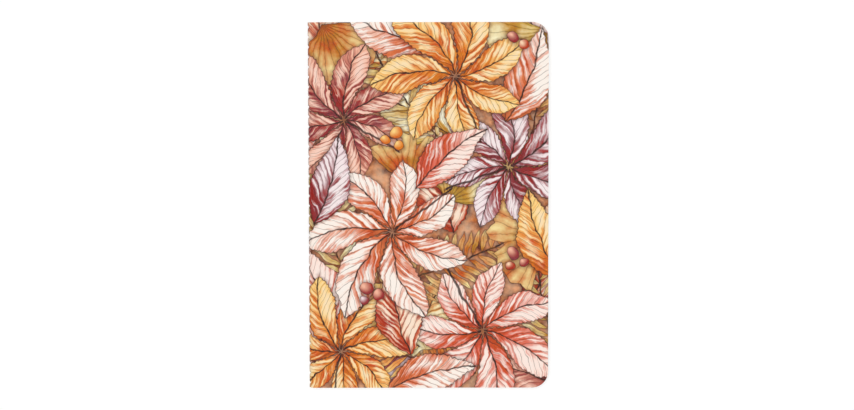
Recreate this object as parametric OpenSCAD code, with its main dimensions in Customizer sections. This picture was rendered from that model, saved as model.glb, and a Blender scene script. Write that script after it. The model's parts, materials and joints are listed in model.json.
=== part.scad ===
// Pocket notebook with a soft card cover, thread-sewn through the fold.
// It lies closed on its back cover: +Z is up through the front cover,
// +X runs from the fold to the fore-edge and +Y from the foot to the head.
// The folds of the cover and of every sheet are half tubes about one line, the binding line.

/* [Notebook] */
// Closed width, from the thread on the fold to the fore-edge
notebook_w = 111.3; // [85:0.1:160]
// Height, from the foot to the head
notebook_h = 170; // [120:0.5:230]
// Radius of the two rounded corners at the fore-edge
corner_r = 7.5; // [2:0.5:14]

/* [Paper] */
// Thickness of one leaf
paper_t = 0.10; // [0.06:0.01:0.2]
// Air between one leaf and the next
paper_gap = 0.02; // [0.01:0.01:0.1]

/* [Cover] */
// Thickness of the cover card
cover_t = 0.35; // [0.25:0.05:0.8]
// Air between the cover and the outermost leaf
cover_gap = 0.03; // [0.01:0.01:0.2]

/* [Stitching] */
// Distance from one needle hole to the next
stitch_pitch = 4.6; // [3:0.1:10]
// Least distance from the outermost needle holes to the head and the foot
stitch_margin = 2; // [1.5:0.5:15]
// Diameter of the sewing thread
thread_d = 0.36; // [0.25:0.01:0.5]
// Free room round the thread in the needle holes
thread_room = 0.04; // [0.02:0.01:0.1]
// How far the thread stands out from the fold of the cover
thread_proud = 0.20; // [0.15:0.05:0.4]

/* [Hidden] */
$fn = 48;
// Folded sheets, each of two leaves
sheet_count = 16;
// Needle holes
hole_d = thread_d + 2 * thread_room;
stitch_count = floor((notebook_h - 2 * stitch_margin) / stitch_pitch) + 1;
stitch_first = -stitch_pitch * (stitch_count - 1) / 2;
// Radii of the folds about the binding line
centre_r = thread_d / 2 + 2 * thread_room;
sheet_step = paper_t + paper_gap;
cover_in_r = centre_r + sheet_count * paper_t + (sheet_count - 1) * paper_gap + cover_gap;
cover_out_r = cover_in_r + cover_t;
// Leaves and covers begin a little past the binding line, clear of the thread
leaf_start = thread_d / 2 + 3 * thread_room;
leaf_end = notebook_w - cover_out_r - thread_proud;
// The thread on the fold, and how far in the two threads lock together
thread_line_r = cover_out_r + thread_proud - thread_d / 2;
groove_d = thread_d + 3 * thread_room;
leg_d = 0.9 * thread_d;
lock_r = cover_out_r / 2;
// The binding line in the model's frame
binding_x = cover_out_r + thread_proud - notebook_w / 2;
binding_z = cover_out_r;

printed_card = [0.86, 0.60, 0.49];
ivory_paper = [0.97, 0.95, 0.90];
brown_thread = [0.58, 0.40, 0.31];

function two_digits(n) = str(n < 10 ? "0" : "", n);
function sheet_in_r(n) = centre_r + (sheet_count - n) * sheet_step;

// Puts what is drawn about the binding line in its place.
module at_binding() {
  translate([binding_x, 0, binding_z]) children();
}

// Outline of a leaf or a cover: square corners at the fold, round ones at the fore-edge.
module leaf_outline() {
  translate([leaf_start, -notebook_h / 2])
    square([leaf_end - corner_r - leaf_start, notebook_h]);
  translate([leaf_end - corner_r, corner_r - notebook_h / 2])
    square([corner_r, notebook_h - 2 * corner_r]);
  for (side = [-1, 1])
    translate([leaf_end - corner_r, side * (notebook_h / 2 - corner_r)])
      circle(r = corner_r);
}

// A flat panel of thickness t whose lower face lies at height z above the binding line.
module panel(z, t) {
  translate([0, 0, z]) linear_extrude(height = t) leaf_outline();
}

// A folded strip: half a tube about the binding line, with short flats that reach the leaves.
module folded_strip(in_r, out_r) {
  rotate([90, 0, 0])
    linear_extrude(height = notebook_h, center = true)
      difference() {
        union() {
          circle(r = out_r);
          translate([0, -out_r]) square([leaf_start, 2 * out_r]);
        }
        circle(r = in_r);
        translate([0, -in_r]) square([leaf_start + out_r + 1, 2 * in_r]);
        translate([leaf_start, -out_r - 1]) square([out_r + 1, 2 * out_r + 2]);
      }
}

// A row of round bars through the needle holes, from the binding line outwards.
module needle_row(d, from_r, to_r) {
  for (n = [0:stitch_count - 1])
    translate([-from_r, stitch_first + n * stitch_pitch, 0])
      rotate([0, -90, 0]) cylinder(d = d, h = to_r - from_r);
}

// A straight run of thread along the fold, from the foot to the head.
module thread_run(r_from_line, d) {
  translate([-r_from_line, 0, 0])
    rotate([90, 0, 0]) cylinder(d = d, h = notebook_h, center = true);
}

module front_cover() {
  color(printed_card) at_binding() panel(cover_in_r, cover_t);
}

module back_cover() {
  color(printed_card) at_binding() panel(-cover_out_r, cover_t);
}

module cover_spine() {
  color(printed_card)
    at_binding()
      difference() {
        folded_strip(cover_in_r, cover_out_r);
        needle_row(hole_d, lock_r, cover_out_r + 1);
        translate([-thread_line_r, 0, 0])
          rotate([90, 0, 0]) cylinder(d = groove_d, h = notebook_h + 2, center = true);
      }
}

module outer_thread() {
  color(brown_thread)
    at_binding() {
      thread_run(thread_line_r, thread_d);
      needle_row(leg_d, lock_r, thread_line_r);
    }
}

module inner_thread() {
  color(brown_thread)
    at_binding() {
      thread_run(0, thread_d);
      needle_row(leg_d, 0, lock_r);
    }
}

// Sheet 1 is the outermost and the last one is the centre sheet.
module front_leaf(n) {
  color(ivory_paper) at_binding() panel(sheet_in_r(n), paper_t);
}

module back_leaf(n) {
  color(ivory_paper) at_binding() panel(-sheet_in_r(n) - paper_t, paper_t);
}

module fold(n) {
  color(ivory_paper)
    at_binding()
      difference() {
        folded_strip(sheet_in_r(n), sheet_in_r(n) + paper_t);
        needle_row(hole_d, 0, cover_out_r + 1);
      }
}

front_cover();
cover_spine();
back_cover();
outer_thread();
inner_thread();

front_leaf(1);  // sheet_01_front_leaf
fold(1);  // sheet_01_fold
back_leaf(1);  // sheet_01_back_leaf
front_leaf(2);  // sheet_02_front_leaf
fold(2);  // sheet_02_fold
back_leaf(2);  // sheet_02_back_leaf
front_leaf(3);  // sheet_03_front_leaf
fold(3);  // sheet_03_fold
back_leaf(3);  // sheet_03_back_leaf
front_leaf(4);  // sheet_04_front_leaf
fold(4);  // sheet_04_fold
back_leaf(4);  // sheet_04_back_leaf
front_leaf(5);  // sheet_05_front_leaf
fold(5);  // sheet_05_fold
back_leaf(5);  // sheet_05_back_leaf
front_leaf(6);  // sheet_06_front_leaf
fold(6);  // sheet_06_fold
back_leaf(6);  // sheet_06_back_leaf
front_leaf(7);  // sheet_07_front_leaf
fold(7);  // sheet_07_fold
back_leaf(7);  // sheet_07_back_leaf
front_leaf(8);  // sheet_08_front_leaf
fold(8);  // sheet_08_fold
back_leaf(8);  // sheet_08_back_leaf
front_leaf(9);  // sheet_09_front_leaf
fold(9);  // sheet_09_fold
back_leaf(9);  // sheet_09_back_leaf
front_leaf(10);  // sheet_10_front_leaf
fold(10);  // sheet_10_fold
back_leaf(10);  // sheet_10_back_leaf
front_leaf(11);  // sheet_11_front_leaf
fold(11);  // sheet_11_fold
back_leaf(11);  // sheet_11_back_leaf
front_leaf(12);  // sheet_12_front_leaf
fold(12);  // sheet_12_fold
back_leaf(12);  // sheet_12_back_leaf
front_leaf(13);  // sheet_13_front_leaf
fold(13);  // sheet_13_fold
back_leaf(13);  // sheet_13_back_leaf
front_leaf(14);  // sheet_14_front_leaf
fold(14);  // sheet_14_fold
back_leaf(14);  // sheet_14_back_leaf
front_leaf(15);  // sheet_15_front_leaf
fold(15);  // sheet_15_fold
back_leaf(15);  // sheet_15_back_leaf
front_leaf(16);  // sheet_16_front_leaf
fold(16);  // sheet_16_fold
back_leaf(16);  // sheet_16_back_leaf
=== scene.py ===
"""A thread-sewn notebook with a printed soft cover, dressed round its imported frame."""
import json
import math
import random

import bmesh
import bpy
import numpy as np
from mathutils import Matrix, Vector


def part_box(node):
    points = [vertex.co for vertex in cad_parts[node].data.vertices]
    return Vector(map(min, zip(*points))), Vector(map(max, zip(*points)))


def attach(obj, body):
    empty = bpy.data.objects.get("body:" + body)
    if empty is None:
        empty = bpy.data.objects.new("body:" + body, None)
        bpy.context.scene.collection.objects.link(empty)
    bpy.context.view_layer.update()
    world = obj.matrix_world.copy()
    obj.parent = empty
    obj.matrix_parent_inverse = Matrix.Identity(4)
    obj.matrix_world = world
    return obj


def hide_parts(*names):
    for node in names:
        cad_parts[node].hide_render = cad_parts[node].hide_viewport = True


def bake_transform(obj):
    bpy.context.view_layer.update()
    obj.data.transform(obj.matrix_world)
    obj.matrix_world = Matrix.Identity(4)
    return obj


bl_info = {
    "name": "Thread-sewn notebook",
    "version": (1, 0, 0),
    "blender": (4, 5, 0),
    "location": "3D View > Sidebar > Notebook",
    "description": "Builds the cover, the sheets, the threads and the stage of a sewn notebook",
    "category": "Object",
}

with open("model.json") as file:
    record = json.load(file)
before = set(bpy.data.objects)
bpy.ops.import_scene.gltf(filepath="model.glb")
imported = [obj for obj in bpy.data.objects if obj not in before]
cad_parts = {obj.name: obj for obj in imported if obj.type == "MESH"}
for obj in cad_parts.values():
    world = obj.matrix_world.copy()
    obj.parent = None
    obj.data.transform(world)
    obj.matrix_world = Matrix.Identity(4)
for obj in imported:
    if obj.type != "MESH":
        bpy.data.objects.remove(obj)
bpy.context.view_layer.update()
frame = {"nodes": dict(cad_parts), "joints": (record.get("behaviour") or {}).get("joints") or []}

# Lengths are worked out in millimetres, and one millimetre is this many metres.
MM = 0.001


def box_mm(part):
    """Lowest and highest corner of a CAD node, in millimetres."""
    low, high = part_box(part)
    return np.array(low) / MM, np.array(high) / MM


# The covers and the leaves turn about the binding line, which runs along y at FOLD_X and FOLD_Z.
hinge = next(joint for joint in frame["joints"] if joint["name"] == "cover_open")
FOLD_X, _, FOLD_Z = (value / MM for value in hinge["pos_m"])

# From that line: both ends of the cover's panels, both faces of the card, and the outside of the thread.
cover_low, cover_high = box_mm("front_cover")
COVER_START = cover_low[0] - FOLD_X
COVER_END = cover_high[0] - FOLD_X
COVER_IN = cover_low[2] - FOLD_Z
COVER_OUT = cover_high[2] - FOLD_Z
THREAD_OUT = FOLD_X - box_mm("outer_thread")[0][0]

# The notebook's height, and its sheets from the outermost inwards.
HALF_HEIGHT = cover_high[1]
HEIGHT = 2 * HALF_HEIGHT
SHEETS = sorted(name.removesuffix("_fold") for name in frame["nodes"] if name.endswith("_fold"))

# The print lies flat over back, fold and front: x from the fold's front edge, y from mid-height.
FOLD_WIDTH = math.pi * COVER_OUT
PRINT_LEFT = -FOLD_WIDTH - COVER_END
PRINT_WIDTH = FOLD_WIDTH + 2 * COVER_END

# Width and height of the photograph, in pixels.
PHOTO_WIDTH = 854
PHOTO_HEIGHT = 410


def length(name, description, millimetres):
    """A length, given in millimetres and kept in metres."""
    return bpy.props.FloatProperty(
        name=name,
        description=description,
        default=millimetres * MM,
        min=0.0,
        precision=5,
        subtype="DISTANCE",
    )


def pixels(name, description, default):
    """A place or a length in the photograph."""
    return bpy.props.FloatProperty(name=name, description=description, default=default, subtype="PIXEL")


def share(name, description, default):
    """A share of a whole."""
    return bpy.props.FloatProperty(
        name=name, description=description, default=default, min=0.0, max=1.0, subtype="FACTOR"
    )


def angle(name, description, degrees):
    """An angle, given in degrees."""
    return bpy.props.FloatProperty(
        name=name, description=description, default=math.radians(degrees), subtype="ANGLE"
    )


def colour(name, description, default):
    """A colour as it is seen on the screen."""
    return bpy.props.FloatVectorProperty(
        name=name, description=description, default=default, size=3, min=0.0, max=1.0, subtype="COLOR_GAMMA"
    )


class NotebookSizes(bpy.types.PropertyGroup):
    """Shapes that the frame leaves open."""

    corner_radius: length("Corner radius", "Radius of the two corners at the fore-edge", 7.5)
    curl: length("Cover curl", "How far the front cover lifts at its fore-edge", 0.25)
    stitch_pitch: length("Stitch pitch", "Distance between needle holes", 4.6)
    pinch_depth: length("Pinch depth", "How far each stitch pulls the fold in", 0.28)
    pinch_width: length("Pinch width", "Half width of the dent at a needle hole", 0.6)
    swell: length("Swell", "How far the fold bulges between two stitches", 0.1)
    end_dip: length("End dip", "How far the bend draws in the ends of the cover's fold", 0.05)
    centre_gap: length("Centre gap", "Space between the middle plane and the innermost leaf", 0.08)
    settle_start: length("Settle start", "Distance from the fold at which the leaves begin to settle", 1.0)
    settle_width: length("Settle width", "Distance over which the leaves settle on each other", 16.0)
    trim_play: length("Trim play", "Most that one leaf's cut edge differs from another's", 0.12)
    rule_pitch: length("Rule pitch", "Distance between ruled lines on the leaves", 7.0)
    rule_width: length("Rule width", "Width of a ruled line", 0.22)
    rule_margin: length("Rule margin", "Height without ruled lines at the head and the foot", 12.0)
    ply_radius: length("Ply radius", "Radius of one of the thread's two plies", 0.105)
    ply_offset: length("Ply offset", "Distance of each ply from the middle of the thread", 0.08)
    ply_pitch: length("Ply pitch", "Length of one turn of the thread's twist", 1.1)
    thread_proud: length("Thread proud", "How far the twist stands out past the packed thread", 0.06)
    outer_dip: length("Outer dip", "How far the outer thread dips into each needle hole", 0.5)
    inner_dip: length("Inner dip", "How far the inner thread dips into each needle hole", 0.4)
    dip_width: length("Dip width", "Half width of a thread's dip", 0.5)


class NotebookColours(bpy.types.PropertyGroup):
    """Colours of the print, the papers and the thread."""

    ground: colour("Ground", "Unprinted face of the cover", (0.978, 0.958, 0.93))
    ink: colour("Ink", "Pen lines of the print", (0.18, 0.07, 0.035))
    gap_pale: colour("Gaps, pale", "Lightest wash between the leaves", (0.82, 0.47, 0.22))
    gap_deep: colour("Gaps, deep", "Darkest wash between the leaves, and shadows", (0.31, 0.09, 0.045))
    blush_pale: colour("Blush, pale", "Lightest wash of the blush leaves", (0.99, 0.935, 0.89))
    blush_deep: colour("Blush, deep", "Darkest wash of the blush leaves", (0.90, 0.49, 0.28))
    rust_pale: colour("Rust, pale", "Lightest wash of the rust leaves", (0.98, 0.83, 0.69))
    rust_deep: colour("Rust, deep", "Darkest wash of the rust leaves", (0.80, 0.29, 0.05))
    gold_pale: colour("Gold, pale", "Lightest wash of the gold leaves", (0.985, 0.82, 0.50))
    gold_deep: colour("Gold, deep", "Darkest wash of the gold leaves", (0.90, 0.50, 0.06))
    ochre_pale: colour("Ochre, pale", "Lightest wash of the ochre leaves", (0.955, 0.86, 0.60))
    ochre_deep: colour("Ochre, deep", "Darkest wash of the ochre leaves", (0.75, 0.49, 0.11))
    plum_pale: colour("Plum, pale", "Lightest wash of the plum leaves", (0.95, 0.87, 0.88))
    plum_deep: colour("Plum, deep", "Darkest wash of the plum leaves", (0.52, 0.20, 0.24))
    wine_pale: colour("Wine, pale", "Lightest wash of the wine leaves", (0.96, 0.71, 0.60))
    wine_deep: colour("Wine, deep", "Darkest wash of the wine leaves", (0.64, 0.10, 0.03))
    coral_pale: colour("Coral, pale", "Lightest wash of the coral leaves", (0.99, 0.88, 0.83))
    coral_deep: colour("Coral, deep", "Darkest wash of the coral leaves", (0.86, 0.32, 0.20))
    straw_pale: colour("Straw, pale", "Lightest wash of the straw leaves", (0.985, 0.955, 0.79))
    straw_deep: colour("Straw, deep", "Darkest wash of the straw leaves", (0.82, 0.66, 0.25))
    card: colour("Card", "Inside and cut edge of the cover", (0.95, 0.935, 0.90))
    paper: colour("Paper", "Leaves", (0.985, 0.957, 0.908))
    rule: colour("Rule", "Ruled lines on the leaves", (0.72, 0.70, 0.76))
    thread: colour("Thread", "Sewing thread", (0.58, 0.40, 0.31))


class NotebookStage(bpy.types.PropertyGroup):
    """Camera and light."""

    lens: bpy.props.FloatProperty(
        name="Lens", description="Focal length in millimetres", default=85.0, subtype="DISTANCE_CAMERA"
    )
    middle_x: pixels("Middle x", "Column of the photograph at the notebook's middle", 428.2)
    middle_y: pixels("Middle y", "Row of the photograph at the notebook's middle", 205.95)
    height_px: pixels("Height", "Height of the notebook in the photograph", 366.4)
    tilt: angle("Tilt", "How far the camera looks down from the head's side", 3.7)
    roll: angle("Roll", "How far the camera is turned about its own axis", -0.1)
    sky: share("Sky", "Share of the light that comes evenly from all sides", 0.28)
    lamp: share("Lamp", "Share of the light that comes from the lamp overhead", 0.72)
    lamp_to_head: angle("Lamp to head", "How far the lamp stands to the head's side", 6)
    lamp_to_fold: angle("Lamp to fold", "How far the lamp stands to the fold's side", 5)
    softness: angle("Softness", "How wide the lamp looks from the notebook", 40)


def size(name):
    """One of the notebook's sizes, in millimetres."""
    return getattr(bpy.context.scene.notebook_sizes, name) / MM


class Wire:
    """A value in a shader, so that sums of nodes read as plain sums."""

    def __init__(self, socket):
        self.socket = socket

    def math(self, operation, *others):
        """A Math node on this value and the others."""
        return node(self.socket.id_data, "ShaderNodeMath", {"operation": operation}, self, *others)

    def __add__(self, other):
        return self.math("ADD", other)

    def __radd__(self, other):
        return self.math("ADD", other)

    def __sub__(self, other):
        return self.math("SUBTRACT", other)

    def __rsub__(self, other):
        return self.math("MULTIPLY_ADD", -1.0, other)

    def __mul__(self, other):
        return self.math("MULTIPLY", other)

    def __rmul__(self, other):
        return self.math("MULTIPLY", other)

    def __truediv__(self, other):
        return self.math("DIVIDE", other)

    def __rtruediv__(self, other):
        return node(self.socket.id_data, "ShaderNodeMath", {"operation": "DIVIDE"}, other, self)

    def __abs__(self):
        return self.math("ABSOLUTE")

    def scaled(self, factor, plus=0.0):
        """This value times the factor, plus the rest."""
        return self.math("MULTIPLY_ADD", factor, plus)

    def ramp(self, factor, plus=0.0):
        """The same, kept between 0 and 1. A Clamp node keeps large prints within the renderer's memory."""
        return node(self.socket.id_data, "ShaderNodeClamp", {}, self.scaled(factor, plus))

    def above(self, level):
        """1 where this value is above the level, and 0 elsewhere."""
        return self.math("GREATER_THAN", level)

    def least(self, other):
        """The smaller of this value and the other."""
        return self.math("MINIMUM", other)

    def most(self, other):
        """The larger of this value and the other."""
        return self.math("MAXIMUM", other)

    def to_nearest(self):
        """Distance to the nearest whole number."""
        return self.math("PINGPONG", 0.5)

    def angle_from(self, other):
        """Angle of the place that lies this far across and the other value along."""
        return self.math("ARCTAN2", other)


def node(tree, kind, settings, *values, out=0, **named):
    """The output of a new node: its settings are set first, then its sockets by place or by name."""
    made = tree.nodes.new(kind)
    for name, value in settings.items():
        setattr(made, name, value)
    for place, value in [*enumerate(values), *named.items()]:
        if isinstance(value, Wire):
            tree.links.new(value.socket, made.inputs[place])
        elif value is not None:
            made.inputs[place].default_value = value
    return None if out is None else Wire(made.outputs[out])


def weighed(start, *terms):
    """The start plus every term, each of them a weight and the wire that it weighs."""
    total = start
    for weight, wire in terms:
        total = wire.scaled(weight, total)
    return total


def mix(tree, first, second, factor):
    """A colour between two colours. The node's other sockets are for other kinds of value."""
    others = [None] * 5
    return node(tree, "ShaderNodeMix", {"data_type": "RGBA"}, factor, *others, first, second, out=2)


def tone(name, level=1.0):
    """One of the notebook's colours, or that level of it, in the shader's own numbers."""
    shown = [level * channel for channel in getattr(bpy.context.scene.notebook_colours, name)]
    # This undoes the curve that a screen's numbers follow.
    linear = [c / 12.92 if c <= 0.04045 else ((c + 0.055) / 1.055) ** 2.4 for c in shown]
    return (*linear, 1.0)


def grey(level):
    """A grey in the shader's own numbers."""
    return (level, level, level, 1.0)


def flat_places(tree, width, left=0.0, foot=0.0):
    """Places in millimetres on the unfolded piece: its width, and where its left edge and its foot lie."""
    flat = node(tree, "ShaderNodeUVMap", {"uv_map": "flat"})
    whole = (width, HEIGHT, 0.0)
    corner = (left, foot, 0.0)
    return node(tree, "ShaderNodeVectorMath", {"operation": "MULTIPLY_ADD"}, flat, whole, corner)


def split(tree, places):
    """The x and the y of a place."""
    x = node(tree, "ShaderNodeSeparateXYZ", {}, places)
    return x, Wire(x.socket.node.outputs[1])


def noise(tree, places, across, detail=2.0, gain=3.0):
    """Soft blotches about that many millimetres across, between 0 and 1."""
    blotch = node(
        tree,
        "ShaderNodeTexNoise",
        {"noise_dimensions": "2D"},
        Vector=places,
        Scale=1.0 / across,
        Detail=detail,
        Roughness=0.55,
    )
    return blotch.ramp(gain, 0.5 - 0.5 * gain)


# What a motif's node group takes in, apart from the picture under it.
BRUSH_SOCKETS = {
    "Place": "NodeSocketVector",
    "X": "NodeSocketFloat",
    "Y": "NodeSocketFloat",
    "Wash": "NodeSocketFloat",
    "Bloom": "NodeSocketFloat",
    "Stain": "NodeSocketFloat",
    "Press": "NodeSocketFloat",
}


def brush_wires(tree, places):
    """The wires that every motif is drawn with: the place of a wobbling hand, its paint and its pen."""
    wobble = 1.6
    wobble_across = 9.0
    light_press = 0.75
    press_play = 0.4
    drift = node(
        tree,
        "ShaderNodeTexNoise",
        {"noise_dimensions": "2D"},
        Vector=places,
        Scale=1.0 / wobble_across,
        Detail=3.0,
        out=1,
    )
    reach = (2 * wobble, 2 * wobble, 0.0)
    middle = (-wobble, -wobble, 0.0)
    drift = node(tree, "ShaderNodeVectorMath", {"operation": "MULTIPLY_ADD"}, drift, reach, middle)
    hand = node(tree, "ShaderNodeVectorMath", {"operation": "ADD"}, places, drift)
    x, y = split(tree, hand)
    return {
        "Place": hand,
        "X": x,
        "Y": y,
        "Wash": noise(tree, places, across=13.0, detail=6.0, gain=2.2),
        "Bloom": noise(tree, places, across=5.0, detail=6.0, gain=2.5),
        "Stain": noise(tree, places, across=8.0, detail=5.0, gain=2.6),
        "Press": noise(tree, places, across=2.5).scaled(press_play, light_press),
    }


# The family whose paint runs into each family while it is wet.
RUNS_INTO = {
    "blush": "rust",
    "rust": "wine",
    "gold": "rust",
    "ochre": "rust",
    "plum": "wine",
    "wine": "plum",
    "coral": "rust",
    "straw": "ochre",
}


class Brush:
    """Draws one motif in its own tree of nodes, with the wires that all motifs share."""

    def __init__(self, tree, wires):
        self.tree = tree
        self.place = wires["Place"]
        self.x = wires["X"]
        self.y = wires["Y"]
        self.wash = wires["Wash"]
        self.bloom = wires["Bloom"]
        self.stain = wires["Stain"]
        self.press = wires["Press"]

    def mix(self, first, second, factor):
        """A colour between two colours."""
        return mix(self.tree, first, second, factor)

    def family(self, name, depth):
        """A colour family's wash, from its palest at 0 to its deepest at 1 and on into shade."""
        shade_level = 0.28
        shade_start = 0.875
        shade_gain = 0.8
        deep = tone(name + "_deep")
        shade = (*[shade_level * channel for channel in deep[:3]], 1.0)
        wash = self.mix(tone(name + "_pale"), deep, depth)
        wash = self.mix(wash, tone(RUNS_INTO[name] + "_deep"), depth * self.stain)
        return self.mix(wash, shade, depth.ramp(shade_gain, -shade_gain * shade_start))

    def distance(self, x, y):
        """Distance in millimetres from a place on the print."""
        settings = {"operation": "DISTANCE"}
        return node(self.tree, "ShaderNodeVectorMath", settings, self.place, (x, y, 0.0), out=1)

    def placed(self, x, y, turn, half):
        """Distances along and across a motif at (x, y), in half lengths of it."""
        c = math.cos(math.radians(turn)) / half
        s = math.sin(math.radians(turn)) / half
        along = weighed(-x * c - y * s, (s, self.y), (c, self.x))
        across = weighed(x * s - y * c, (-s, self.x), (c, self.y))
        return along, across

    def strokes(self, across):
        """Brush strokes side by side, between 0 and 1, which the wash bends a little."""
        gain = 2.6
        bend = 0.9
        bent = self.wash.scaled(bend, across)
        settings = {"noise_dimensions": "1D"}
        stroke = node(self.tree, "ShaderNodeTexNoise", settings, W=bent, Scale=1.0, Detail=3.0)
        return stroke.ramp(gain, 0.5 - 0.5 * gain)

    def inked(self, wash, lines):
        """A wash with pen lines over it, which the pen presses harder in some places."""
        return self.mix(wash, tone("ink"), lines * self.press)


def motif_group(name, make, values):
    """A node group that lays one motif, with its shadow, over the picture under it."""
    tree = bpy.data.node_groups.new(name, "ShaderNodeTree")
    for socket, kind in BRUSH_SOCKETS.items():
        tree.interface.new_socket(socket, in_out="INPUT", socket_type=kind)
    tree.interface.new_socket("Under", in_out="INPUT", socket_type="NodeSocketColor")
    tree.interface.new_socket("Picture", in_out="OUTPUT", socket_type="NodeSocketColor")
    inputs = tree.nodes.new("NodeGroupInput").outputs
    brush = Brush(tree, {socket: Wire(inputs[socket]) for socket in BRUSH_SOCKETS})
    mask, own, shadow = make(brush, *values)
    shaded = brush.mix(Wire(inputs["Under"]), tone("gap_deep"), shadow)
    node(tree, "NodeGroupOutput", {}, brush.mix(shaded, own, mask), out=None)
    return tree


# Widths in millimetres: of a motif's blurred edge, of the pen and of the shadow round a motif.
SOFT = 0.22
PEN = 0.27
SHADOW = 1.7

# How dark a shadow is, from 0 to 1.
SHADOW_DEPTH = 0.45


def pen_line(distance, unit, pens):
    """A pen line where a distance is 0: the distance's unit in millimetres, the line's reach in pens."""
    return distance.ramp(-unit / PEN, pens)


def veined(brush, family, half, along, out, dark_side, edge, veins, shift):
    """The mask, the inked wash and the shadow of a leaf with a midrib, side veins and a wavy rim.

    Along the midrib the leaf runs from -1 to 1. Out is the distance from the midrib and edge the distance
    inwards from the rim, both in half lengths. The shift moves the veins along and picks the strokes.
    """
    vein_slant = 1.35
    strokes_per_vein = 1.4
    strokes_between_sides = 17.0
    teeth_per_vein = 1.7
    tooth_depth = 0.05
    pool_width = 1.6
    gleam_gain = 5.0
    strand = weighed(shift, (-vein_slant * veins, out), (veins, along))
    rows = strand.to_nearest()
    stroke = brush.strokes(strand.scaled(strokes_per_vein, dark_side * strokes_between_sides))
    teeth = along.scaled(teeth_per_vein * veins, shift).to_nearest()
    edge = teeth.scaled(-tooth_depth, edge)
    mask = edge.ramp(half / SOFT)
    # The shadow fades out just past the leaf's tips.
    near_leaf = (along * along).ramp(-3.0, 4.0)
    shadow = edge.ramp(half / SHADOW, 1.0) * near_leaf * SHADOW_DEPTH
    outline = pen_line(edge, half, 2.3)
    rib = pen_line(out, half, 1.8)
    vein = pen_line(rows, half / veins, 1.2)
    depth = weighed(-0.1, (-0.6, along), (0.3, dark_side), (-0.45, rows), (0.45, brush.wash), (0.7, stroke))
    pool = edge.ramp(-half / pool_width, 1.0)
    between = out.least(edge)
    bare = weighed(0.1, (0.9, rows), (-0.35, dark_side), (-0.6, brush.wash), (0.4, brush.bloom))
    gleam = between.ramp(gleam_gain, stroke.scaled(-0.9, bare))
    wash = brush.family(family, weighed(depth, (-0.75, gleam), (0.2, pool)))
    wash = brush.mix(wash, tone("ground"), gleam * 0.4)
    return mask, brush.inked(wash, outline.most(rib).most(vein * 0.65)), shadow


def broad_leaf(brush, x, y, turn, half, wide, bend, family, veins):
    """A single bent leaf, widest behind its middle."""
    taper = 0.35
    along, across = brush.placed(x, y, turn, half)
    square = along * along
    across = square.scaled(bend, across)
    out = abs(across)
    edge = square.ramp(-1.0, 1.0) * along.scaled(-taper * wide, wide) - out
    # Each leaf has its own shift, so that no two leaves look alike.
    shift = 0.37 * half + x + 3 * y
    return veined(brush, family, half, along, out, across.above(0.0), edge, veins, shift)


def palmate_leaf(brush, x, y, turn, radius, count, wide, swirl, family, veins):
    """A leaf of an odd number of leaflets round one stalk, the longest of them opposite it."""
    taper = 0.4
    stalk_start = 2.0
    stalk_end = 0.8
    shortness = 1.13
    shortness_play = 0.17
    veins_between_leaflets = 5.4
    step = 2 * math.pi / count
    along, across = brush.placed(x, y, turn, radius)
    stalk = pen_line(abs(across), radius, 2.4) * along.ramp(-radius / stalk_start)
    reach = across.scaled(across, along * along).math("SQRT")
    stalk = stalk * reach.ramp(-radius, stalk_end * radius)
    turns = weighed(float(count), (swirl, reach), (1.0 / step, across.angle_from(along)))
    number = turns.math("ROUND")
    off = turns - number
    # The leaflets are shorter towards the stalk.
    reach = reach * (number * step).math("COSINE").scaled(-shortness_play, shortness)
    swing = off * step
    along = (reach * swing.math("COSINE")).scaled(2.0, -1.0)
    out = abs(reach * swing.math("SINE")) * 2.0
    edge = (along * along).ramp(-1.0, 1.0) * along.scaled(taper * wide, wide) - out
    dark_side = off.above(0.0)
    shift = number * veins_between_leaflets
    mask, leaf, shadow = veined(brush, family, radius / 2, along, out, dark_side, edge, veins, shift)
    return mask.most(stalk), brush.mix(leaf, tone("ink"), stalk * 0.9), shadow


def frond(brush, x, y, turn, half, wide, bend, family, pairs):
    """A bent leaf of many narrow leaflets along a stalk."""
    taper = 0.3
    slant = 0.75
    fullness = 1.75
    least_width = 0.002
    frond_tip = 0.001
    stalk_tip = 0.03
    shadow_width = 1.2
    step = half / pairs
    along, across = brush.placed(x, y, turn, half)
    square = along * along
    across = square.scaled(bend, across)
    out = abs(across)
    room = square.ramp(-1.0, 1.0)
    part = out / room.scaled(along.scaled(-taper * wide, wide), least_width)
    # The leaflets of the two sides alternate by half a step.
    cell = weighed(0.25, (0.5, across.above(0.0)), (-slant * pairs, out), (pairs, along)).to_nearest()
    edge = (part - part * part).scaled(fullness, cell - 0.5)
    inside = room.above(frond_tip)
    mask = edge.ramp(step / SOFT) * inside
    shadow = edge.ramp(step / shadow_width, 1.0) * inside * (1.0 - part.above(1.0)) * SHADOW_DEPTH
    outline = pen_line(edge, step, 1.7)
    # A leaflet's rib runs half a step from the gaps beside it.
    rib = cell.ramp(step / PEN, 1.0 - 0.5 * step / PEN)
    stalk = pen_line(out, half, 1.9) * room.above(stalk_tip)
    depth = weighed(0.25, (-0.6, part), (1.1, brush.wash))
    wash = brush.family(family, outline.scaled(0.2, depth))
    return mask.most(stalk), brush.inked(wash, outline.most(rib * 0.5).most(stalk)), shadow


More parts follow.
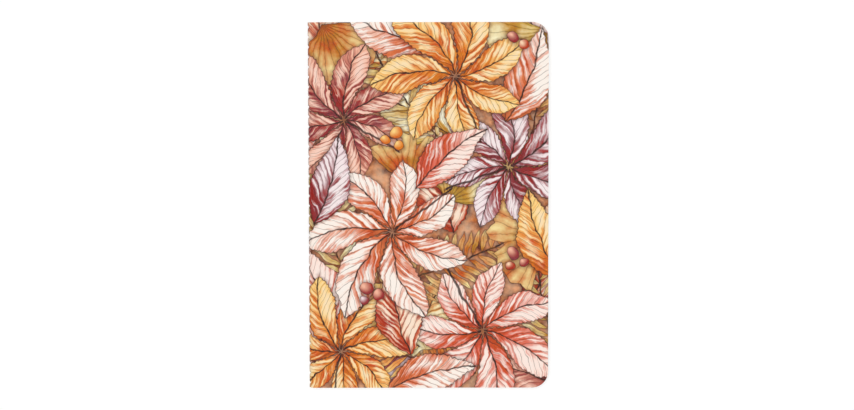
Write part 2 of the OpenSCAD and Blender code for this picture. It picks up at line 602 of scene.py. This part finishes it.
def fan_leaf(brush, x, y, turn, radius, family, ribs):
    """A fan-shaped leaf with a wavy rim and ribs from its stalk."""
    spread = 1.15
    lobes = 3.1
    notch_gain = 7.0
    pool_width = 2.2
    along, across = brush.placed(x, y, turn, radius)
    reach = across.scaled(across, along * along).math("SQRT")
    swing = across.angle_from(along)
    aside = abs(swing)
    notch = aside.ramp(-notch_gain, 1.0)
    wave = swing.scaled(lobes, 0.25).to_nearest()
    rim = weighed(0.93, (-0.3, notch), (0.14, wave))
    edge = (rim - reach).least((spread - aside) * reach)
    mask = edge.ramp(radius / SOFT)
    shadow = edge.ramp(radius / SHADOW, 1.0) * SHADOW_DEPTH
    outline = pen_line(edge, radius, 1.9)
    pool = edge.ramp(-radius / pool_width, 1.0)
    rows = swing.scaled(ribs / math.pi).to_nearest()
    rib = pen_line(rows * reach, radius * math.pi / ribs, 1.0)
    depth = weighed(0.7, (-0.6, rows), (1.0, brush.wash), (-0.75, reach))
    wash = brush.family(family, pool.scaled(0.25, depth))
    return mask, brush.inked(wash, outline.most(rib * 0.6)), shadow


def berry(brush, x, y, turn, radius, family):
    """A round berry with a bright spot on the side that its turn gives."""
    off = 0.5 * radius
    spot_x = x + off * math.cos(math.radians(turn))
    spot_y = y + off * math.sin(math.radians(turn))
    edge = radius - brush.distance(x, y)
    mask = edge.ramp(1.0 / SOFT)
    outline = pen_line(edge, 1.0, 1.7)
    shadow = edge.ramp(1.0 / SHADOW, 1.0) * SHADOW_DEPTH
    gleam = brush.distance(spot_x, spot_y).ramp(-1.1 / radius, 1.15)
    wash = brush.family(family, 1.0 - gleam)
    return mask, brush.inked(wash, outline), shadow


# The front's motifs from the lowest up: kind, x, y, turn in degrees, size, and what the kind asks for.
MOTIFS = [
    (broad_leaf, 4, 74, 100, 26, 0.50, 0.10, "rust", 6),
    (broad_leaf, 30, 78, 30, 26, 0.50, -0.10, "ochre", 6),
    (broad_leaf, 104, 72, 110, 26, 0.50, 0.10, "coral", 6),
    (broad_leaf, 46, 44, 150, 26, 0.50, -0.10, "straw", 6),
    (broad_leaf, 2, 8, 80, 26, 0.50, 0.10, "ochre", 6),
    (broad_leaf, 58, 12, 100, 26, 0.50, 0.10, "rust", 6),
    (broad_leaf, 108, -22, 80, 26, 0.50, -0.10, "rust", 6),
    (broad_leaf, 4, -42, 120, 26, 0.50, 0.10, "coral", 6),
    (broad_leaf, 50, -52, 60, 26, 0.50, 0.10, "ochre", 6),
    (broad_leaf, 104, -80, 160, 24, 0.50, -0.10, "wine", 6),
    (broad_leaf, 44, -82, 10, 24, 0.50, 0.10, "plum", 6),
    (frond, 34, 62, 122, 38, 0.38, 0.10, "straw", 8),
    (frond, 102, 40, 78, 40, 0.38, -0.12, "ochre", 9),
    (frond, 6, 2, 96, 38, 0.38, 0.14, "straw", 8),
    (frond, 62, -28, 20, 40, 0.38, -0.10, "ochre", 9),
    (frond, 108, -52, 104, 34, 0.38, 0.12, "straw", 8),
    (frond, 42, -70, 160, 34, 0.38, 0.12, "gold", 8),
    (fan_leaf, 108, 80, 215, 30, "straw", 15),
    (fan_leaf, 4, 84, 300, 30, "ochre", 15),
    (fan_leaf, 62, 2, 60, 27, "straw", 15),
    (fan_leaf, 44, 10, 78, 25, "ochre", 15),
    (fan_leaf, 108, -14, 190, 28, "ochre", 15),
    (fan_leaf, 40, -44, 260, 27, "straw", 15),
    (palmate_leaf, 14, 40, 150, 38, 7, 0.43, 0.5, "wine", 5),
    (palmate_leaf, 90, 18, 20, 40, 7, 0.43, -0.5, "plum", 5),
    (palmate_leaf, 12, -68, 80, 38, 7, 0.43, 0.5, "gold", 5),
    (palmate_leaf, 78, -58, 300, 42, 7, 0.43, 0.5, "coral", 5),
    (broad_leaf, 34, 80, 160, 24, 0.46, 0.12, "blush", 6),
    (broad_leaf, 100, 60, 70, 24, 0.46, -0.12, "blush", 6),
    (broad_leaf, 104, -14, 110, 23, 0.46, 0.12, "gold", 6),
    (broad_leaf, 38, -48, 100, 23, 0.46, 0.12, "rust", 6),
    (palmate_leaf, 66, 60, 110, 42, 7, 0.43, -0.5, "gold", 5),
    (palmate_leaf, 36, -12, 215, 44, 7, 0.43, -0.5, "blush", 5),
    (broad_leaf, 62, 24, 40, 22, 0.44, 0.12, "coral", 6),
    (broad_leaf, 8, 12, 75, 22, 0.44, -0.12, "plum", 6),
    (broad_leaf, 54, -78, 15, 22, 0.44, 0.12, "blush", 6),
    (berry, 92, -22, 135, 3.0, "wine"),
    (berry, 97, -26, 135, 2.6, "wine"),
    (berry, 91, -28, 135, 2.4, "rust"),
    (berry, 38, 34, 135, 3.0, "gold"),
    (berry, 33, 31, 135, 2.6, "gold"),
    (berry, 39, 28, 135, 2.4, "gold"),
    (berry, 24, -38, 135, 3.0, "wine"),
    (berry, 29, -41, 135, 2.6, "wine"),
    (berry, 23, -44, 135, 2.4, "plum"),
    (berry, 92, 78, 135, 3.0, "wine"),
    (berry, 97, 75, 135, 2.6, "rust"),
]


def all_motifs():
    """The back's motifs, which are the front's turned by a half turn, and then the front's."""
    turned = [(make, -FOLD_WIDTH - x, -y, turn + 180, *rest) for make, x, y, turn, *rest in MOTIFS]
    return [*turned, *MOTIFS]


def draw_print(tree, places, left, right):
    """The picture in a strip of the print between left and right, from the motifs that reach into it."""
    widest_reach = 1.15
    gap_paleness = 0.45
    wires = brush_wires(tree, places)
    picture = mix(tree, tone("gap_pale"), tone("gap_deep"), wires["Bloom"])
    picture = mix(tree, picture, tone("rust_pale"), wires["Stain"] * gap_paleness)
    for number, (make, x, y, turn, half, *rest) in enumerate(all_motifs()):
        reach = widest_reach * half
        if x + reach < left or x - reach > right:
            continue
        name = f"{make.__name__}_{number:02d}"
        group = bpy.data.node_groups.get(name) or motif_group(name, make, (x, y, turn, half, *rest))
        picture = node(tree, "ShaderNodeGroup", {"node_tree": group}, Under=picture, **wires)
    return picture


def new_material(name, roughness, gloss=0.3):
    """A new material of that roughness and gloss, with its nodes and its shader."""
    made = bpy.data.materials.new(name)
    made.use_nodes = True
    shader = made.node_tree.nodes["Principled BSDF"]
    shader.inputs["Roughness"].default_value = roughness
    shader.inputs["Specular IOR Level"].default_value = gloss
    return made, made.node_tree, shader


def feed(shader, **sockets):
    """Links wires to a shader's sockets, whose names are written with underscores for spaces."""
    for name, wire in sockets.items():
        socket = shader.inputs[name.replace("_", " ")]
        socket.id_data.links.new(wire.socket, socket)


def bump(tree, height, strength, depth):
    """A bump of that depth in millimetres where the height is 1."""
    return node(tree, "ShaderNodeBump", {}, Strength=strength, Distance=depth * MM, Height=height)


def print_material(name, left, right):
    """Uncoated card with the leaf print on it, for the strip of the print between left and right."""
    roughness = 0.6
    roughness_play = 0.12
    specks = 0.03
    made, tree, shader = new_material(name, roughness, gloss=0.15)
    places = flat_places(tree, PRINT_WIDTH, PRINT_LEFT, -HALF_HEIGHT)
    picture = draw_print(tree, places, left, right)
    grain = noise(tree, places, across=0.7, detail=3.0)
    picture = mix(tree, picture, tone("ground"), grain.ramp(2 * specks, -specks))
    fibre = noise(tree, places, across=0.35)
    rough = grain.scaled(roughness_play, roughness - roughness_play / 2)
    normal = bump(tree, fibre, strength=0.35, depth=0.03)
    feed(shader, Base_Color=picture, Roughness=rough, Normal=normal)
    return made


def card_material():
    """Bare card, for the inside and the cut edges of the cover."""
    made, tree, shader = new_material("bare_card", 0.7)
    places = flat_places(tree, PRINT_WIDTH)
    fibre = noise(tree, places, across=0.5, detail=4.0)
    cloud = noise(tree, places, across=14.0)
    darkness = weighed(0.0, (0.5, cloud), (0.5, fibre))
    card = mix(tree, tone("card"), tone("card", 0.93), darkness)
    feed(shader, Base_Color=card, Normal=bump(tree, fibre, strength=0.4, depth=0.04))
    return made


def paper_material(name, ruled):
    """Writing paper with a faint formation of fibres, with or without ruled lines."""
    made, tree, shader = new_material(name, 0.75)
    places = flat_places(tree, 2 * COVER_END)
    fibre = noise(tree, places, across=0.6, detail=3.0)
    cloud = noise(tree, places, across=5.0)
    darkness = weighed(0.0, (0.55, cloud), (0.45, fibre))
    paper = mix(tree, tone("paper"), tone("paper", 0.955), darkness)
    if ruled:
        pitch = size("rule_pitch")
        blur = 0.08
        _, y = split(tree, places)
        off = (y * (1.0 / pitch)).to_nearest()
        line = off.ramp(-pitch / blur, (size("rule_width") / 2 + blur) / blur)
        inside = (HALF_HEIGHT - size("rule_margin") - abs(y - HALF_HEIGHT)).above(0.0)
        ink = line * inside * fibre.scaled(0.3, 0.7)
        paper = mix(tree, paper, tone("rule"), ink)
    feed(shader, Base_Color=paper, Normal=bump(tree, fibre, strength=0.3, depth=0.03))
    return made


def thread_material():
    """Twisted thread, whose fibres wind round each ply."""
    fibres_round = 9.0
    fibres_per_mm = 3.0
    made, tree, shader = new_material("sewing_thread", 0.7)
    shader.inputs["Sheen Weight"].default_value = 0.3
    places = flat_places(tree, 1.0)
    x, y = split(tree, places)
    strand = (x * fibres_round + y * fibres_per_mm).to_nearest() * 2.0
    cloud = noise(tree, places, across=0.8)
    # Random clouds darken the thread, and it is darker in the grooves between its fibres, where the bump is
    # low: painted shade.
    darkness = weighed(0.6, (0.5, cloud), (-0.7, strand))
    thread = mix(tree, tone("thread"), tone("thread", 0.6), darkness)
    feed(shader, Base_Color=thread, Normal=bump(tree, strand, strength=0.5, depth=0.02))
    return made


def finish_mesh(name, points, faces, kinds, flat, materials):
    """A piece from points in millimetres, its faces, each face's material and each point's flat place."""
    square_to_y = 0.99
    sharp = math.radians(50)
    mesh = bpy.data.meshes.new(name)
    mesh.from_pydata((np.asarray(points) * MM).tolist(), [], faces)
    for made in materials:
        mesh.materials.append(made)
    mesh.polygons.foreach_set("material_index", kinds)
    corners = np.zeros(len(mesh.loops), dtype=int)
    mesh.loops.foreach_get("vertex_index", corners)
    layer = mesh.uv_layers.new(name="flat")
    layer.data.foreach_set("uv", np.asarray(flat)[corners].astype(np.float32).ravel())
    built = bmesh.new()
    built.from_mesh(mesh)
    bmesh.ops.recalc_face_normals(built, faces=built.faces)
    built.to_mesh(mesh)
    built.free()
    normals = np.zeros(3 * len(mesh.polygons))
    mesh.polygons.foreach_get("normal", normals)
    cut = np.abs(normals[1::3]) > square_to_y
    mesh.polygons.foreach_set("use_smooth", ~cut)
    mesh.set_sharp_from_angle(angle=sharp)
    piece = bpy.data.objects.new(name, mesh)
    bpy.context.scene.collection.objects.link(piece)
    return piece


def slab(name, outside, inside, flat, materials):
    """A thin closed piece between two grids, with materials for its outside, its inside and its rim."""
    rows, columns, _ = outside.shape
    below = rows * columns
    numbers = np.arange(below).reshape(rows, columns)
    faces = []
    kinds = []
    for kind, grid in enumerate((numbers, numbers + below)):
        corners = [grid[:-1, :-1], grid[:-1, 1:], grid[1:, 1:], grid[1:, :-1]]
        quads = np.stack(corners, axis=-1).reshape(-1, 4)
        faces += quads.tolist()
        kinds += [kind] * len(quads)
    sides = [numbers[0, :-1], numbers[:-1, -1], numbers[-1, :0:-1], numbers[:0:-1, 0]]
    round_about = np.concatenate(sides)
    following = np.roll(round_about, -1)
    rim = np.stack([round_about, following, following + below, round_about + below], axis=-1)
    faces += rim.tolist()
    kinds += [2] * len(rim)
    points = np.concatenate([outside.reshape(-1, 3), inside.reshape(-1, 3)])
    places = np.concatenate([flat.reshape(-1, 2)] * 2)
    return finish_mesh(name, points, faces, kinds, places, materials)


def leaf_columns(start, end, straight):
    """Distances from the fold at which a leaf has points, closer together along its rounded corners."""
    corner_points = 13
    radius = size("corner_radius")
    turn = np.linspace(0.0, math.pi / 2, corner_points)[1:]
    before_corner = np.linspace(start, end - radius, straight)
    return np.concatenate([before_corner, end - radius + radius * np.sin(turn)])


def half_height(out, end):
    """Half of a leaf's height at each distance from the fold."""
    radius = size("corner_radius")
    past = np.clip(out - (end - radius), 0.0, radius)
    return HALF_HEIGHT - radius + np.sqrt(radius**2 - past**2)


def to_hole(y):
    """Distance from each height to the nearest needle hole; one hole is at mid-height."""
    pitch = size("stitch_pitch")
    return np.abs((y / pitch + 0.5) % 1.0 - 0.5) * pitch


def share_up(y):
    """Heights as shares of the whole height, from the foot."""
    return y / HEIGHT + 0.5


def print_places(x, y):
    """Places on the print, as shares of its width and height."""
    return np.stack([(x - PRINT_LEFT) / PRINT_WIDTH, share_up(y)], axis=-1)


def cover_panel(name, side, lift, print_left, print_right, bare):
    """The front cover at side 1 or the back cover at side -1. Its fore-edge lifts most at mid-height."""
    columns = 40
    rows = 61
    droop = 0.3
    sweep = 2.2
    out = leaf_columns(COVER_START, COVER_END, columns)
    up = np.linspace(-1.0, 1.0, rows)[:, None]
    y = up * half_height(out, COVER_END)[None, :]
    x = np.broadcast_to(out[None, :], y.shape)
    bow = lift * (x / COVER_END) ** 2 * (1.0 - droop + droop * np.cos(sweep * up))
    outside = np.stack([FOLD_X + x, y, FOLD_Z + side * COVER_OUT + bow], axis=-1)
    inside = np.stack([FOLD_X + x, y, FOLD_Z + side * COVER_IN + bow], axis=-1)
    flat = print_places(x if side > 0 else -FOLD_WIDTH - x, y)
    printed = print_material(name + "_print", print_left, print_right)
    return slab(name, outside, inside, flat, (printed, bare, bare))


def cover_fold(name, bare):
    """The rolled fold of the cover, pulled in at every needle hole, with short flats to the covers."""
    steps_round = 27
    rows_per_stitch = 12
    rows = int(HEIGHT / size("stitch_pitch") * rows_per_stitch)
    turn = np.linspace(0.0, math.pi, steps_round)
    outward = np.sin(turn)
    y = np.linspace(-HALF_HEIGHT, HALF_HEIGHT, rows)[:, None]
    dent = np.exp(-((to_hole(y) / size("pinch_width")) ** 2))
    swell = outward**2 * size("swell") * (1 - dent)
    pinch = outward**4 * size("pinch_depth") * dent

    def bent(radius, flat_radius):
        """Points of one face of the fold: its radius round the bend, and its distance at the flats."""
        flat_x = np.full_like(y, COVER_START)
        flat_z = np.full_like(y, flat_radius)
        x = np.hstack([flat_x, -radius * outward, flat_x])
        z = np.hstack([flat_z, radius * np.cos(turn), -flat_z])
        drawn_in = size("end_dip") / HALF_HEIGHT * np.concatenate([[0.0], outward, [0.0]])
        return np.stack([FOLD_X + x, y * (1.0 - drawn_in), FOLD_Z + z], axis=-1)

    outside = bent(COVER_OUT + swell - pinch, COVER_OUT)
    inside = bent(np.full_like(y, COVER_IN), COVER_IN)
    print_x = np.concatenate([[COVER_START], -COVER_OUT * turn, [-FOLD_WIDTH - COVER_START]])
    print_y = outside[..., 1]
    flat = print_places(np.broadcast_to(print_x, print_y.shape), print_y)
    printed = print_material(name + "_print", -FOLD_WIDTH - COVER_START, COVER_START)
    return slab(name, outside, inside, flat, (printed, bare, bare))


class NOTEBOOK_OT_cover(bpy.types.Operator):
    """Front cover, rolled fold and back cover with the leaf print."""

    bl_idname = "notebook.cover"
    bl_label = "Cover"

    def execute(self, context):
        depth_in_card = 0.3
        bare = card_material()
        front = cover_panel("cover_front", 1, size("curl"), 0.0, COVER_END, bare)
        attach(front, "front_cover")
        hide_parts("front_cover")
        back = cover_panel("cover_back", -1, 0.0, PRINT_LEFT, -FOLD_WIDTH, bare)
        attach(back, "back_cover")
        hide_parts("back_cover")
        fold = cover_fold("cover_fold", bare)
        # Two places in the card, on either side of the binding line.
        reach = COVER_IN + depth_in_card * (COVER_OUT - COVER_IN)
        low = (FOLD_X * MM, 0.0, (FOLD_Z - reach) * MM)
        high = (FOLD_X * MM, 0.0, (FOLD_Z + reach) * MM)
        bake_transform(fold)
        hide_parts("cover_spine")
        return {"FINISHED"}


def folded_sheet(name, number, draw, paper, cut):
    """One sheet folded round the binding line, with its faces' material and its cut edges'."""
    columns = 18
    rows = 25
    steps_round = 15
    tall_row = 4
    clear = 0.01
    gap = size("centre_gap")
    low, high = box_mm(name + "_front_leaf")
    inner = low[2] - FOLD_Z
    thick = high[2] - low[2]
    outer = inner + thick
    settled = gap + (len(SHEETS) - number) * (COVER_IN - gap) / len(SHEETS)

    def leaf(side):
        """Rows from the fold outwards: x and z inside, x and z outside, half height, flat place."""
        end = high[0] - FOLD_X - draw.uniform(0.0, size("trim_play"))
        out = leaf_columns(0.0, end, columns)
        ease = np.clip((out - size("settle_start")) / size("settle_width"), 0.0, 1.0)
        ease = ease * ease * (3 - 2 * ease)
        away = inner + (settled - inner) * ease
        tall = half_height(out, end) - draw.uniform(0.0, size("trim_play"))
        return np.stack([out, side * away, out, side * (away + thick), tall, side * out])

    turn = np.linspace(0.0, math.pi, steps_round)[1:-1]
    round_x = -np.sin(turn)
    round_z = -np.cos(turn)
    back = leaf(-1)
    front = leaf(1)
    tall = np.linspace(back[tall_row, 0], front[tall_row, 0], len(turn))
    fold = np.stack([inner * round_x, inner * round_z, outer * round_x, outer * round_z, tall, 0 * turn])
    x_in, z_in, x_out, z_out, tall, along = np.concatenate([back[:, ::-1], fold, front], axis=1)[:, None, :]
    y = np.linspace(-1.0, 1.0, rows)[:, None] * tall
    row = np.ones_like(y)
    inside = np.stack([FOLD_X + x_in * row, y, FOLD_Z + z_in * row], axis=-1)
    outside = np.stack([FOLD_X + x_out * row, y, FOLD_Z + z_out * row], axis=-1)
    flat = np.stack([(along / COVER_END + 1) / 2 * row, share_up(y)], axis=-1)
    piece = slab(name, outside, inside, flat, (paper, paper, cut))
    # Two places on either side of the binding line, just short of where the leaves lie.
    reach = (min(inner, settled) - clear) * MM
    middle = np.array([FOLD_X * MM, 0.0, FOLD_Z * MM])
    start = middle - [0, 0, reach]
    end = middle + [0, 0, reach]
    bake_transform(piece)
    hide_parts(name + "_front_leaf", name + "_fold", name + "_back_leaf")


class NOTEBOOK_OT_sheets(bpy.types.Operator):
    """The folded sheets, one inside the other."""

    bl_idname = "notebook.sheets"
    bl_label = "Sheets"

    def execute(self, context):
        trim_seed = 4
        paper = paper_material("writing_paper", ruled=True)
        cut = paper_material("cut_paper", ruled=False)
        draw = random.Random(trim_seed)
        for number, name in enumerate(SHEETS, start=1):
            folded_sheet(name, number, draw, paper, cut)
        return {"FINISHED"}


def twisted_thread(name, rest, dip, thread):
    """Two plies twisted along the fold from the foot to the head, which dip at every needle hole."""
    steps_per_turn = 7
    sides = 7
    low, high = box_mm(name)
    radius = size("ply_radius")
    offset = size("ply_offset")
    pitch = size("ply_pitch")
    steps = int((high[1] - low[1]) / pitch * steps_per_turn)
    y = np.linspace(low[1], high[1], steps)
    centre = rest + dip * np.exp(-((to_hole(y) / size("dip_width")) ** 2))
    points = []
    faces = []
    flat = []
    around = np.arange(sides) * 2 * math.pi / sides
    for ply in range(2):
        twist = 2 * math.pi * y / pitch + ply * math.pi
        first = len(points)
        for place, middle, turn in zip(y, centre, twist):
            for n, side in enumerate(around):
                x = middle + offset * math.cos(turn) + radius * math.cos(side)
                z = offset * math.sin(turn) + radius * math.sin(side)
                points.append((FOLD_X - x, place, FOLD_Z + z))
                flat.append((n / sides, share_up(place)))
        for row in range(steps - 1):
            for n in range(sides):
                a = first + row * sides + n
                b = first + row * sides + (n + 1) % sides
                faces.append((a, b, b + sides, a + sides))
        faces.append(tuple(range(first, first + sides)))
        last = first + (steps - 1) * sides
        faces.append(tuple(range(last, last + sides)))
    piece = finish_mesh(name + "_twist", points, faces, [0] * len(faces), flat, (thread,))
    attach(piece, "binding")
    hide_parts(name)


class NOTEBOOK_OT_threads(bpy.types.Operator):
    """The outer thread on the fold and the inner thread in the middle sheet."""

    bl_idname = "notebook.threads"
    bl_label = "Threads"

    def execute(self, context):
        thread = thread_material()
        outer_rest = THREAD_OUT + size("thread_proud") - size("ply_radius") - size("ply_offset")
        twisted_thread("outer_thread", outer_rest, -size("outer_dip"), thread)
        twisted_thread("inner_thread", 0.0, size("inner_dip"), thread)
        return {"FINISHED"}


def background_ray(tree):
    """1 on the rays that show the background, also in a gloss or a glass, and 0 on those that light."""
    straight = node(tree, "ShaderNodeLightPath", {})
    outputs = straight.socket.node.outputs
    return straight.most(Wire(outputs["Is Glossy Ray"])).most(Wire(outputs["Is Transmission Ray"]))


def lay_floor(scene):
    """A floor that keeps the notebook's shadow, and glows to white on the rays that show it."""
    wide = 3000 * MM
    drop = 0.25 * MM
    # The floor's grey on rays that light the notebook and on those that show the floor, and its glow there.
    lighting_grey = 0.85
    shown_grey = 0.45
    glow = 0.56
    corners = [(-wide, -wide, -drop), (wide, -wide, -drop), (wide, wide, -drop), (-wide, wide, -drop)]
    mesh = bpy.data.meshes.new("floor")
    mesh.from_pydata(corners, [], [(0, 1, 2, 3)])
    made, tree, shader = new_material("floor_paper", 0.9)
    shader.inputs["Emission Strength"].default_value = glow
    seen = background_ray(tree)
    base = mix(tree, grey(lighting_grey), grey(shown_grey), seen)
    lit = mix(tree, grey(0.0), grey(1.0), seen)
    feed(shader, Base_Color=base, Emission_Color=lit)
    mesh.materials.append(made)
    floor = bpy.data.objects.new("floor", mesh)
    scene.collection.objects.link(floor)


def set_light(scene, stage):
    """An even white sky, and a soft lamp overhead. Together they light a level white sheet to about 1."""
    world = bpy.data.worlds.new("studio")
    world.use_nodes = True
    sky = world.node_tree.nodes["Background"]
    sky.inputs["Color"].default_value = grey(1.0)
    strength = background_ray(world.node_tree).scaled(1.0 - stage.sky, stage.sky)
    world.node_tree.links.new(strength.socket, sky.inputs["Strength"])
    scene.world = world
    lamp = bpy.data.lights.new("soft_lamp", "SUN")
    lamp.energy = stage.lamp * math.pi
    lamp.angle = stage.softness
    holder = bpy.data.objects.new("soft_lamp", lamp)
    holder.rotation_euler = (-stage.lamp_to_head, -stage.lamp_to_fold, 0.0)
    scene.collection.objects.link(holder)


def place_camera(scene, stage):
    """A camera that sees the notebook where the photograph shows it, and as large."""
    mm_per_px = HEIGHT / stage.height_px
    lens = bpy.data.cameras.new("camera")
    lens.lens = stage.lens
    away = lens.lens / lens.sensor_width * PHOTO_WIDTH * mm_per_px
    camera = bpy.data.objects.new("camera", lens)
    off_x = (PHOTO_WIDTH / 2 - stage.middle_x) * mm_per_px
    off_y = (stage.middle_y - PHOTO_HEIGHT / 2) * mm_per_px + away * math.sin(stage.tilt)
    high = FOLD_Z + COVER_OUT + away * math.cos(stage.tilt)
    camera.location = (off_x * MM, off_y * MM, high * MM)
    camera.rotation_euler = (-stage.tilt, 0.0, stage.roll)
    scene.collection.objects.link(camera)
    scene.camera = camera


class NOTEBOOK_OT_stage(bpy.types.Operator):
    """White floor, soft light and a camera overhead."""

    bl_idname = "notebook.stage"
    bl_label = "Stage"

    def execute(self, context):
        scene = context.scene
        stage = scene.notebook_stage
        scene.view_settings.view_transform = "Standard"
        lay_floor(scene)
        set_light(scene, stage)
        place_camera(scene, stage)
        return {"FINISHED"}


class NOTEBOOK_PT_panel(bpy.types.Panel):
    """The notebook's pieces and the values that shape them."""

    bl_idname = "NOTEBOOK_PT_panel"
    bl_label = "Notebook"
    bl_space_type = "VIEW_3D"
    bl_region_type = "UI"
    bl_category = "Notebook"

    def draw(self, context):
        for operator in OPERATORS:
            self.layout.operator(operator.bl_idname)
        for name, kind in GROUPS.items():
            column = self.layout.column()
            for value in kind.__annotations__:
                column.prop(getattr(context.scene, name), value)


GROUPS = {
    "notebook_sizes": NotebookSizes,
    "notebook_colours": NotebookColours,
    "notebook_stage": NotebookStage,
}
OPERATORS = (NOTEBOOK_OT_stage, NOTEBOOK_OT_cover, NOTEBOOK_OT_sheets, NOTEBOOK_OT_threads)


def register():
    """Makes the values, the operators and the panel known to Blender."""
    for name, group in GROUPS.items():
        bpy.utils.register_class(group)
        setattr(bpy.types.Scene, name, bpy.props.PointerProperty(type=group))
    for operator in OPERATORS:
        bpy.utils.register_class(operator)
    bpy.utils.register_class(NOTEBOOK_PT_panel)


def unregister():
    """Takes back what register did."""
    bpy.utils.unregister_class(NOTEBOOK_PT_panel)
    for operator in reversed(OPERATORS):
        bpy.utils.unregister_class(operator)
    for name, group in GROUPS.items():
        delattr(bpy.types.Scene, name)
        bpy.utils.unregister_class(group)


def main():
    """Builds every piece and the stage."""
    register()
    bpy.ops.notebook.stage()
    bpy.ops.notebook.cover()
    bpy.ops.notebook.sheets()
    bpy.ops.notebook.threads()


if __name__ == "__main__":
    main()
